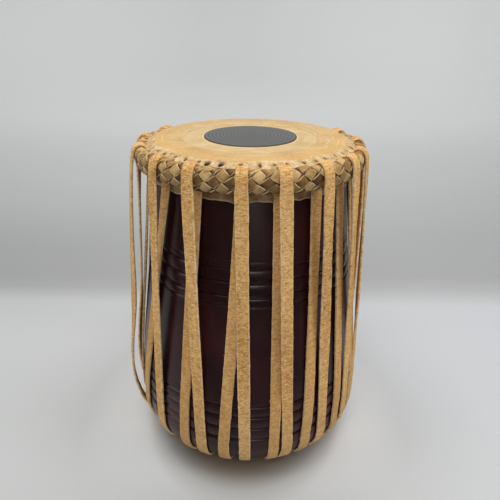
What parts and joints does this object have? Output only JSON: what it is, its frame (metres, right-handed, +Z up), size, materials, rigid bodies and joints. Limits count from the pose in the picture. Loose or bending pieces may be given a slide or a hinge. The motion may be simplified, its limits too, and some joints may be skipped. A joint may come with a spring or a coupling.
{
  "type": "tabla drum",
  "caption": "Hand drum with a turned wooden shell, a skin head with a black centre, a woven ring and one hide strap laced over the ring down to a base ring.",
  "frame": {"origin": "on the floor under the drum's centre, where the strap turns below the base ring rest", "axes": "+Z up along the drum's axis through the head; -Y is the side that the picture shows, +X is its right"},
  "size_m": [0.2156, 0.2155, 0.2885],
  "materials": {
    "lacquered_wood": "dark maroon gloss lacquer on turned hardwood, darker in the grooves",
    "raw_skin": "dry untreated hide",
    "head_skin": "taut pale goat skin, matt and slightly mottled",
    "collar_skin": "golden tan goat skin, worn darker in a ring near the rim",
    "black_paste": "dried iron and starch paste with fine concentric rings and a faint blue-grey sheen",
    "woven_hide": "olive-brown woven hide thongs with a low sheen",
    "strap_hide": "soft golden-tan hide strap, mottled, with fuzzy pale edges"
  },
  "bodies": {
    "root": {"shell": "lacquered_wood", "lining_skin": "raw_skin", "head_skin": "head_skin", "collar_skin": "collar_skin", "black_centre": "black_paste", "woven_ring": "woven_hide", "base_ring": "raw_skin", "lacing_strap": "strap_hide"}
  },
  "joints": []
}
